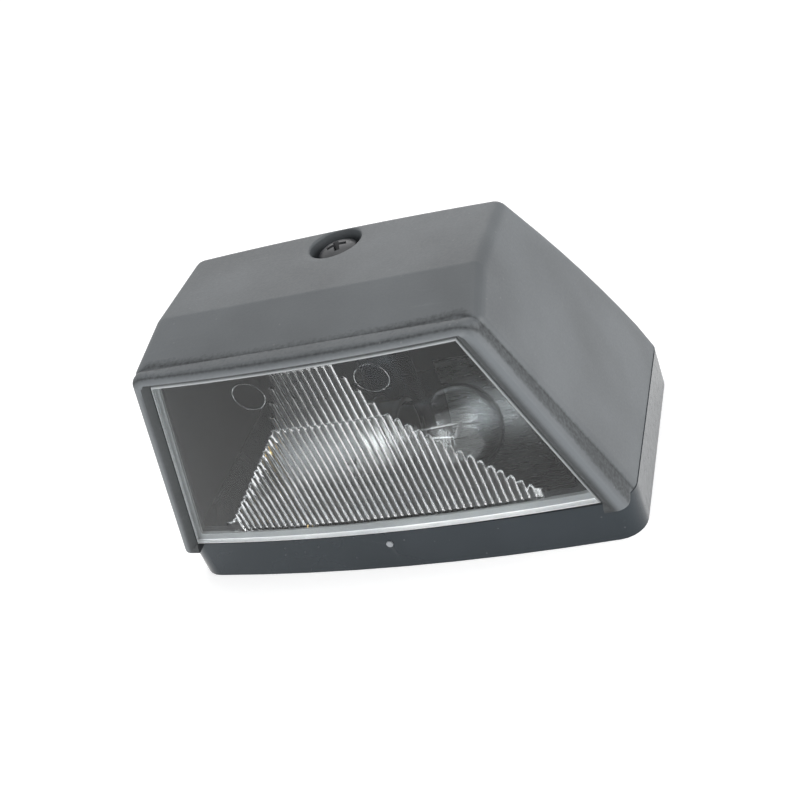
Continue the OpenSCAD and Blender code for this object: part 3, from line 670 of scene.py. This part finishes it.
# %% Blocks between bowed sheets
def bowed_block(name, levels, columns=24, rows=2, across=None, relief=None):
    """A closed block on the lens's outline. levels are (grow, w) from its back to its front.
    across(i, v, grow) gives the columns' places, and relief(x, v) raises the back sheet."""
    def even(i, v, grow):
        return (lens_half(v) + grow * EDGE_SCALE) * (2 * i / columns - 1)

    across = across or even
    points, faces = [], []

    def point(i, j, grow, w, lift=0):
        v = -grow + (LENS_LONG + 2 * grow) * j / rows
        x = across(i, v, grow)
        return on_lens(x, v, w - sag(x) - (relief(x, v) if lift and relief else 0))

    def sheet(grow, w, lift):
        start = len(points)
        points.extend(
            point(i, j, grow, w, lift) for j in range(rows + 1) for i in range(columns + 1)
        )
        return start

    def rim(start):
        step = columns + 1
        border = [start + i for i in range(columns)]
        border += [start + columns + j * step for j in range(rows)]
        border += [start + rows * step + columns - i for i in range(columns)]
        return border + [start + (rows - j) * step for j in range(rows)]

    step = columns + 1
    back = sheet(*levels[0], 1)
    front = sheet(*levels[-1], 0)
    for start, flip in ((back, True), (front, False)):
        for j in range(rows):
            for i in range(columns):
                a = start + j * step + i
                quad = (a, a + 1, a + step + 1, a + step)
                faces.append(quad[::-1] if flip else quad)
    rims = [rim(back)]
    for grow, w in levels[1:-1]:
        first = len(points)
        border = [(i, 0) for i in range(columns)] + [(columns, j) for j in range(rows)]
        border += [(columns - i, rows) for i in range(columns)]
        border += [(0, rows - j) for j in range(rows)]
        points.extend(point(i, j, grow, w) for i, j in border)
        rims.append(list(range(first, len(points))))
    rims.append(rim(front))
    for low, high in zip(rims, rims[1:]):
        count = len(low)
        for k in range(count):
            faces.append((low[k], low[(k + 1) % count], high[(k + 1) % count], high[k]))
    return mesh_piece(name, points, faces)


# %% Join and cut the cover
def upright(name, profile):
    """A turned body that stands on the screw's axis."""
    return turned(name, profile, 64, Matrix.Translation((0, -SCREW_FORE, 0)))


RECESS_Z, BOSS_Z = LAMP_H - 4.2, LAMP_H - 11.5
RECESS_R, SHANK_R, BOSS_R, BOSS_LIP_R = 5.4, 2.3, 4.3, 7.4
FAR, WIDE, HIGH = 60, 80, 99
WINDOW_W = (-16, 5)
SLOPE = [(0, -0.2), (0.45, 0.22), (0.85, 0.54), (1.15, 0.71), (1.5, 0.79), (2.2, 0.86)]
COVER_MATERIALS = (COVER_BLACK, INNER_PAINTED_SHADE, SLOPE_PAINTED_SHADE)


def paint(body, index):
    """Gives a body the cover's materials and all its faces the one with this index."""
    for material in COVER_MATERIALS:
        body.data.materials.append(material)
    for face in body.data.polygons:
        face.material_index = index


def build_cover():
    """Shell and collar joined, then hollowed and cut for the screw and the lens."""
    collar = collar_skin()
    half, seam = lens_half(0) + LENS_GAP, BASE_H + SEAM_SET
    mouth = [
        on_lens(x, v, w) for x in (-half, half) for v in (-FAR, -LENS_GAP) for w in (-FAR, FAR)
    ]
    combine(collar, skin("mouth", mouth), "DIFFERENCE")
    above = [(x, y, z) for x in (-WIDE, WIDE) for y in (-WIDE, WIDE) for z in (seam, seam + HIGH)]
    combine(collar, skin("above_seam", above), "INTERSECT")

    lip_z, over = RECESS_Z - 2, LAMP_H + 1
    profile = [(BOSS_R, BOSS_Z), (BOSS_R, lip_z), (BOSS_LIP_R, lip_z), (BOSS_LIP_R, over)]
    boss = upright("boss", profile)
    combine(boss, outer, "INTERSECT", keep=True)
    cover = combine(outer, collar, "UNION")
    paint(cover, 0)
    paint(hollow, 1)
    combine(cover, hollow, "DIFFERENCE")
    combine(cover, boss, "UNION")
    recess = [(RECESS_R, RECESS_Z), (RECESS_R, LAMP_H - 0.5), (5.55, LAMP_H - 0.2)]
    combine(cover, upright("recess", recess + [(5.9, LAMP_H), (7, over)]), "DIFFERENCE")
    shank_hole = upright("shank_hole", [(SHANK_R, BOSS_Z - 1), (SHANK_R, over)])
    combine(cover, shank_hole, "DIFFERENCE")
    pocket = [(LENS_GAP, -LENS_T - SEAL_T)] + [(LENS_GAP + out, w) for out, w in SLOPE]
    pocket = bowed_block("pocket", pocket)
    paint(pocket, 2)
    combine(cover, pocket, "DIFFERENCE")
    window = [
        on_lens(side * (lens_half(v) - LEDGE * EDGE_SCALE), v, w)
        for side in (-1, 1) for v in (LEDGE_LOW, LENS_LONG - LEDGE) for w in WINDOW_W
    ]
    combine(cover, skin("window", window), "DIFFERENCE")
    cover.name = "cover_shell"
    return smooth(cover, 34)


cover = build_cover()
kinds = [face.material_index for face in cover.data.polygons]
dress(cover, "black_matt", COVER_BLACK, "cover")
for material in COVER_MATERIALS[1:]:
    cover.data.materials.append(material)
for face, kind in zip(cover.data.polygons, kinds):
    face.material_index = kind
print("cover faces outside, inside and on the slope:", [kinds.count(k) for k in range(3)])

# %% [markdown]
# ## Lens
# The real lens is one clear moulding. Its face is smooth, and its back carries two fields of
# round-backed flutes that spread the bulb's light over the plate. Every flute ends in a round of
# its own, which makes the stepped outline of the fields. A boolean of a hundred rounded bars
# would be slow and brittle, so the back is one fine sheet whose height is worked out at each
# point, on columns that follow the flutes.

# %% Heights of the flutes
PITCH, FLUTE_H, FIELD_STEP = 1.45, 0.25, 0.6
FLUTE_LOW, KNEE, FLUTE_TOP = 2.4, 29.2, LENS_LONG - LEDGE - 0.4
HALF_LOW, HALF_KNEE, HALF_TOP = 34, 11.6, 5.9
LAST_FLUTE = int((HALF_LOW - PITCH / 2) / PITCH)
LAST_TALL_FLUTE = int((HALF_KNEE - PITCH / 2) / PITCH)


def flute_end(i, lower):
    """Upper end of flute number i in the lower or in the upper field."""
    d = abs(i * PITCH)
    if d < HALF_TOP:
        end = FLUTE_TOP
    elif d < HALF_KNEE:
        end = FLUTE_TOP - (d - HALF_TOP) / (HALF_KNEE - HALF_TOP) * (FLUTE_TOP - KNEE)
    else:
        end = KNEE - (d - HALF_KNEE) / (HALF_LOW - HALF_KNEE) * (KNEE - FLUTE_LOW - 1)
    return min(end, KNEE) if lower else end


def flute_height(x, v):
    """Height of the lens's back above its plain level."""
    i = round(x / PITCH)
    if abs(i) > LAST_FLUTE or v < FLUTE_LOW:
        return 0
    across = min(abs(x - i * PITCH) / (PITCH / 2), 1)
    round_end = (1 - math.sqrt(1 - across * across)) * PITCH / 2
    hump = FLUTE_H * (1 - across * across)
    if v < flute_end(i, True) - round_end:
        return FIELD_STEP + hump
    if abs(i) <= LAST_TALL_FLUTE and v < flute_end(i, False) - round_end:
        return hump
    return 0


# %% Build the lens
FLUTE_PARTS, SIDE_COLUMNS, LENS_ROWS = 6, 8, 150
COLUMNS_IN_FIELD = (2 * LAST_FLUTE + 1) * FLUTE_PARTS
LENS_COLUMNS = COLUMNS_IN_FIELD + 2 * SIDE_COLUMNS
LENS_LEVELS = [
    (-0.2, -LENS_T), (-0.06, -LENS_T + 0.06), (0, -LENS_T + 0.2),
    (0, -0.35), (-0.1, -0.1), (-0.35, 0),
]
EDGE, FLUTED, LOWER = 1, 2, 3
LOWER_BAND, DOWNWARD, RAISED = 0.4, -0.3, 0.02


def lens_columns(i, v, grow):
    """Columns that follow the flutes in the middle and the lens's leaning ends at its sides."""
    half = lens_half(v) + grow * EDGE_SCALE
    field = (LAST_FLUTE + 0.5) * PITCH
    k = i - SIDE_COLUMNS - COLUMNS_IN_FIELD / 2
    inside = k / (COLUMNS_IN_FIELD / 2) * field
    squeeze = min(1, (half - 1 - HALF_KNEE) / (field - HALF_KNEE))
    if abs(inside) > HALF_KNEE:
        inside = math.copysign(HALF_KNEE + (abs(inside) - HALF_KNEE) * squeeze, inside)
    edge = HALF_KNEE + (field - HALF_KNEE) * squeeze
    beyond = abs(k) - COLUMNS_IN_FIELD / 2
    if beyond > 0:
        return math.copysign(edge + (half - edge) * beyond / SIDE_COLUMNS, k)
    return inside


def paint_lens(lens):
    """Ground rim, lower edge with a painted highlight and fluted back, each with a material of its
    own.
    """
    for material in (LENS_EDGE, LENS_FLUTED, LOWER_EDGE_HIGHLIGHT):
        lens.data.materials.append(material)
    first_rim_face = -(len(LENS_LEVELS) - 1) * 2 * (LENS_COLUMNS + LENS_ROWS)
    for face in lens.data.polygons[first_rim_face:]:
        up = (face.center / MM - LENS_CORNER).dot(UP_LENS)
        # The downward faces at the lens's lower edge get the painted highlight
        low = up < LOWER_BAND and face.normal.dot(UP_LENS) < DOWNWARD
        face.material_index = LOWER if low else EDGE
    for face in lens.data.polygons[:first_rim_face]:
        place = face.center / MM - LENS_CORNER
        if -LENS_T - sag(place.x) - place.dot(OUT_OF_LENS) > RAISED:
            face.material_index = FLUTED


lens = bowed_block(
    "lens_moulding", LENS_LEVELS, LENS_COLUMNS, LENS_ROWS, lens_columns, flute_height
)
dress(smooth(lens, 50), "clear_lens", LENS_CLEAR, "lens")
paint_lens(lens)
print("lens:", len(lens.data.polygons), "faces,", 2 * LAST_FLUTE + 1, "flutes")

# %% [markdown]
# The two rings beside the upper field are the prints of the pins that push the lens out of its
# mould. Each is a thin round bead on the lens's back, so a fine ring of the same plastic is set
# half into it.

# %% Rings left by the mould's pins
RING_X, RING_V = 12.6, 38.4


def build_pin_rings(major=3.2, minor=0.13, turns=64, sides=8):
    points, faces = [], []
    for side in (-1, 1):
        start = len(points)
        for i in range(turns):
            a = 2 * math.pi * i / turns
            for k in range(sides):
                b = 2 * math.pi * k / sides
                reach = major + minor * math.cos(b)
                x, v = side * RING_X + reach * math.cos(a), RING_V + reach * math.sin(a)
                points.append(on_lens(x, v, -LENS_T - sag(x) + minor * math.sin(b)))
        for i in range(turns):
            for k in range(sides):
                here, there = i * sides, (i + 1) % turns * sides
                faces.append(tuple(start + n for n in (
                    here + k, here + (k + 1) % sides, there + (k + 1) % sides, there + k)))
    return mesh_piece("lens_pin_rings", points, faces)


dress(smooth(build_pin_rings()), "clear_lens", LENS_CLEAR)

# %% [markdown]
# ## Cover screw
# A pan head screw with a cross recess holds the cover. Its head is turned with a flat rim and a
# low dome, and the cross is cut with two tapered blades, because a pressed recess narrows
# towards its floor.

# %% Cover screw
HEAD_Z, HEAD_R, HEAD_H, SCREW_R = RECESS_Z + 0.7, 4.05, 3.0, 2.0
DOME, CROSS_TURNS = 1.2, (20, 110)


def build_screw():
    """The cover's screw, turned, with its cross cut by two blades."""
    radius = (HEAD_R ** 2 + DOME ** 2) / (2 * DOME)
    top = HEAD_Z + HEAD_H
    profile = [(SCREW_R - 0.3, HEAD_Z - 16), (SCREW_R, HEAD_Z - 15.6)]
    profile += [(SCREW_R, HEAD_Z - 0.2), (SCREW_R + 0.2, HEAD_Z)]
    profile += [(HEAD_R - 0.2, HEAD_Z), (HEAD_R, HEAD_Z + 0.2), (HEAD_R, top - DOME - 0.1)]
    reach = math.asin((HEAD_R - 0.12) / radius)
    profile += [
        (radius * math.sin(reach * k / 12), top - radius + radius * math.cos(reach * k / 12))
        for k in range(12, 0, -1)
    ]
    screw = upright("cover_screw_turned", profile + [(0.02, top)])
    for turn in CROSS_TURNS:
        spin = Matrix.Rotation(math.radians(turn), 4, "Z")
        blade = [
            spin @ Vector((sx * long, sy * thick, z)) - Vector((0, SCREW_FORE, 0))
            for z, long, thick in ((top - 1.9, 0.9, 0.35), (top + 0.3, 2.45, 0.62))
            for sx in (-1, 1) for sy in (-1, 1)
        ]
        combine(screw, skin("blade", blade), "DIFFERENCE")
    return smooth(screw, 35)


dress(build_screw(), "screw_black", SCREW_BLACK, "cover_screw")

# %% [markdown]
# ## Bulb
# A single-filament bulb with a round clear globe and a bayonet cap. Glass shows every facet, so
# the globe, its neck and the cap are turned on a lathe with fine steps, the glass as a thin wall
# with an inside. The filament is a wound coil between two leads.

# %% Bulb on its axis along X
PIN_X, AXIS_Y, AXIS_Z = -2.0, -16.5, 24.0
TO_LIGHT = 19.0
ALONG_BULB = Matrix.Translation((PIN_X, AXIS_Y, AXIS_Z)) @ Matrix.Rotation(math.pi / 2, 4, "Y")


def globe_profile(radius, neck, start):
    """The outline of the bulb's glass from its neck to its tip, as (radius, height)."""
    meet = math.asin(neck / radius) + 0.16
    outline = [(neck, start), (neck, TO_LIGHT - radius * math.cos(meet) - 2.2)]
    steps = 28
    for k in range(steps + 1):
        a = meet + (math.pi - meet) * k / steps
        outline.append((max(radius * math.sin(a), 0.01), TO_LIGHT - radius * math.cos(a)))
    return outline


def build_bulb_glass(radius=9.25, neck=7.0, wall=0.6, start=3.0):
    shell = globe_profile(radius, neck, start)
    inside = globe_profile(radius - wall, neck - wall, start + wall)
    outline = [(0.01, start)] + shell + inside[::-1] + [(0.01, start + wall)]
    return turned("bulb_globe", outline, place=ALONG_BULB)


glass = build_bulb_glass()
dress(smooth(glass, 50), "bulb_glass", BULB_CLEAR, "bulb_glass")

cap_profile = [
    (5.4, -6.8), (6.6, -6.8), (7.2, -6.4), (7.5, -5.9), (7.5, 7.4), (7.62, 7.7), (7.75, 8.2),
    (7.75, 8.8), (7.55, 9.0), (7.12, 9.0), (7.1, 8.6), (7.1, -5.8), (5.4, -5.8), (5.4, -6.8),
]
cap = turned("bulb_cap_shell", cap_profile, place=ALONG_BULB)
dress(smooth(cap, 35), "nickel", NICKEL, "bulb_cap")
print("bulb globe:", len(glass.data.polygons), "faces")


# %% Filament and contact spring
def wound_wire(name, coil_r, wire_r, turns, start, end):
    """A round wire wound from start to end, as a curve with its own thickness."""
    axis = Vector(end) - Vector(start)
    side = axis.orthogonal().normalized()
    other = axis.normalized().cross(side)
    steps = int(turns * 16)
    curve = bpy.data.curves.new(name, "CURVE")
    curve.dimensions = "3D"
    curve.bevel_depth = wire_r * MM
    curve.bevel_resolution = 2
    curve.use_fill_caps = True
    line = curve.splines.new("POLY")
    line.points.add(steps)
    for k in range(steps + 1):
        a = 2 * math.pi * turns * k / steps
        p = Vector(start) + axis * k / steps + coil_r * (math.cos(a) * side + math.sin(a) * other)
        line.points[k].co = (*(p * MM), 1)
    piece = bpy.data.objects.new(name, curve)
    bpy.context.scene.collection.objects.link(piece)
    return piece


COIL_HALF, SPRING_X = 2.3, (-14.2, -12.1)
coil_ends = [(PIN_X + TO_LIGHT, AXIS_Y + end, AXIS_Z) for end in (-COIL_HALF, COIL_HALF)]
filament = wound_wire("bulb_coil", 0.38, 0.07, 16, *coil_ends)
dress(filament, "steel_wire", WIRE, "bulb_filament")
spring = wound_wire("contact_coil", 2.2, 0.3, 2, *[(x, AXIS_Y, AXIS_Z) for x in SPRING_X])
dress(spring, "steel_wire", WIRE, "contact_spring")

# %% [markdown]
# ## Reflector
# A bright pressed trough lies under and behind the bulb and closes at the far end. It is bent
# round the bulb's axis, so its section is an arc, and the wall has its real thickness.

# %% Reflector
ARC_LOW, ARC_HIGH, ARC_STEPS = 257, 370, 48


def arc_points(radius, x):
    """Points on the trough's arc round the bulb's axis, at the place x along it."""
    angles = [
        math.radians(ARC_LOW + (ARC_HIGH - ARC_LOW) * k / ARC_STEPS) for k in range(ARC_STEPS + 1)
    ]
    return [(x, AXIS_Y + radius * math.cos(a), AXIS_Z + radius * math.sin(a)) for a in angles]


def build_reflector(radius=21.0, wall=0.5, x0=8.0, x1=40.8):
    """An arc-shaped trough with a closed end, as one closed wall."""
    points, faces, starts = [], [], []
    for r in (radius, radius - wall):
        for x in (x0, x1):
            starts.append(len(points))
            points += arc_points(r, x)
    outside, inside = starts[:2], starts[2:]
    for k in range(ARC_STEPS):
        faces.append((outside[0] + k, outside[0] + k + 1, outside[1] + k + 1, outside[1] + k))
        faces.append((inside[0] + k + 1, inside[0] + k, inside[1] + k, inside[1] + k + 1))
        for a, b in zip(outside, inside):
            faces.append((a + k, b + k, b + k + 1, a + k + 1))
    for k in (0, ARC_STEPS):
        faces.append((outside[0] + k, outside[1] + k, inside[1] + k, inside[0] + k))
    trough = mesh_piece("reflector_trough", points, faces)
    end = []
    for x in (x1 - wall, x1):
        end += [(x, AXIS_Y, AXIS_Z)] + arc_points(radius - 0.2, x)
    plate = skin("end_plate", end)
    bm = bmesh.new()
    bm.from_mesh(trough.data)
    bm.from_mesh(plate.data)
    bmesh.ops.recalc_face_normals(bm, faces=bm.faces)
    bm.to_mesh(trough.data)
    bm.free()
    bpy.data.objects.remove(plate)
    return trough


dress(smooth(build_reflector(), 35), "bright_sheet", BRIGHT_SHEET, "reflector")
print("reflector bent over", ARC_HIGH - ARC_LOW, "degrees")

# %% [markdown]
# ## The pieces that stay as they are
# The base, the seals, the holder and the small metal parts already have their true shapes. They
# keep their meshes. Modifiers alone weld their faces, round their edges by a fraction of a
# millimetre and even out their normals, so that every edge catches some light. The small stub on
# the base's front, where the plastic entered the mould, is paler than the rest.

# %% Dress the construction pieces
BEVEL_FROM = 32


def dress_node(name, material, edge):
    """Material, softened edges and smooth shading for a piece of the frame."""
    piece = nodes[name]
    piece.data.materials.clear()
    piece.data.materials.append(material)
    for face in piece.data.polygons:
        face.use_smooth = True
    weld = piece.modifiers.new("weld", "WELD")
    weld.merge_threshold = 0.001 * MM
    bevel = piece.modifiers.new("soft edges", "BEVEL")
    bevel.width = edge * MM
    bevel.segments = 3
    bevel.limit_method = "ANGLE"
    bevel.angle_limit = math.radians(BEVEL_FROM)
    weights = piece.modifiers.new("weights", "WEIGHTED_NORMAL")
    weights.keep_sharp = False


finishes = {
    BASE_BLACK: {"base_plate": 0.45},
    RUBBER: {"mounting_gasket": 0.1, "cover_seal": 0.1, "screw_ring": 0.12, "cable_grommet": 0.3},
    SEAL_GREY: {"lens_seal": 0.05},
    BRASS: {"screw_insert": 0.12, "centre_contact": 0.12, "supply_strip": 0.1},
    NICKEL: {"bulb_pins": 0.15},
    WIRE: {"bulb_leads": 0.03, "rivets": 0.2},
    BULB_CLEAR: {"bulb_stem": 0.15},
    CAP_BLACK: {"bulb_insulator": 0.1},
    SOLDER: {"bulb_contact": 0.3},
    ZINC: {"socket_shell": 0.1, "socket_bracket": 0.12},
    FIBRE: {"socket_insulator": 0.15},
}
for material, pieces in finishes.items():
    for name, edge in pieces.items():
        dress_node(name, material, edge)
print("dressed", sum(len(pieces) for pieces in finishes.values()), "construction pieces")

# %% The gate's stub
GATE_X, GATE_Z, GATE_R = -1, 6.6, 0.75
base = nodes["base_plate"]
base.data.materials.append(GATE_MARK)
for face in base.data.polygons:
    spots = [base.matrix_world @ base.data.vertices[k].co / MM for k in face.vertices]
    if all(p.y < 0 and math.hypot(p.x - GATE_X, p.z - GATE_Z) < GATE_R for p in spots):
        face.material_index = 1
print("faces of the stub:", sum(face.material_index for face in base.data.polygons))

# %% [markdown]
# ## Floor and light
# The lamp stands on a plain white floor. Four large soft lamps do the work: two weak ones, high
# behind on the left and above, light the top, a stronger one on the right lights the right end,
# and one in front lights the lens side. The world adds an even, pale light. Rays that see the
# floor get some extra white from it, and more of it far from the lamp, where less light falls, so
# that the background is white while the shadow under the lamp stays.

# %% Floor
def white_where_seen(tree):
    """A value of 1 for rays that see the surface directly, in a gloss or through glass."""
    path = add(tree, "LightPath")
    total = path.outputs["Is Camera Ray"]
    for label in ("Is Glossy Ray", "Is Transmission Ray"):
        total = calc(tree, total, path.outputs[label], "MAXIMUM")
    return total


GLOW_NEAR, GLOW_FAR = 0.5, 0.65
NEAR, AWAY = 200, 800


def build_floor(half=3000):
    """A large white floor that glows a little where it is seen."""
    corners = [(-half, -half, 0), (half, -half, 0), (half, half, 0), (-half, half, 0)]
    floor = mesh_piece("floor", corners, [(0, 1, 2, 3)])
    material, tree, shader = new_material("white floor")
    shader.inputs["Base Color"].default_value = (0.86, 0.86, 0.86, 1)
    shader.inputs["Roughness"].default_value = 0.9
    shader.inputs["Specular IOR Level"].default_value = 0
    shader.inputs["Emission Color"].default_value = (1, 1, 1, 1)
    away = add(tree, "VectorMath", operation="LENGTH")
    tree.links.new(add(tree, "TexCoord").outputs["Object"], away.inputs[0])
    glow = spread(tree, away.outputs["Value"], NEAR * MM, AWAY * MM, GLOW_NEAR, GLOW_FAR)
    strength = calc(tree, white_where_seen(tree), glow, "MULTIPLY")
    tree.links.new(strength, shader.inputs["Emission Strength"])
    floor.data.materials.append(material)


build_floor()
print("floor built")

# %% World and lamps
WORLD_LEVEL = 0.46
LAMP_AIM = Vector((0, 0, 30))
LAMPS = {
    "soft lamp behind": ((-160, 520, 380), 420, 0.65),
    "soft lamp above": ((60, 40, 600), 420, 0.75),
    "soft lamp right": ((520, -60, 120), 260, 1.7),
    "soft lamp in front": ((-140, -500, 150), 300, 1.4),
}


def build_world():
    world = bpy.data.worlds.new("studio")
    bpy.context.scene.world = world
    world.use_nodes = True
    tree = world.node_tree
    background = tree.nodes["Background"]
    background.inputs["Color"].default_value = (1, 1, 1, 1)
    strength = spread(tree, white_where_seen(tree), 0, 1, WORLD_LEVEL, 1)
    tree.links.new(strength, background.inputs["Strength"])


def soft_lamp(name, place, size, power):
    """A square soft lamp at a place, in millimetres, turned to the lamp on the floor."""
    lamp = bpy.data.objects.new(name, bpy.data.lights.new(name, "AREA"))
    bpy.context.scene.collection.objects.link(lamp)
    lamp.location = Vector(place) * MM
    lamp.rotation_euler = (LAMP_AIM - Vector(place)).to_track_quat("-Z", "Y").to_euler()
    lamp.data.size = size * MM
    lamp.data.energy = power


build_world()
for name, (place, size, power) in LAMPS.items():
    soft_lamp(name, place, size, power)
print("lamps:", len(LAMPS))

bpy.context.scene.view_settings.view_transform = "Standard"
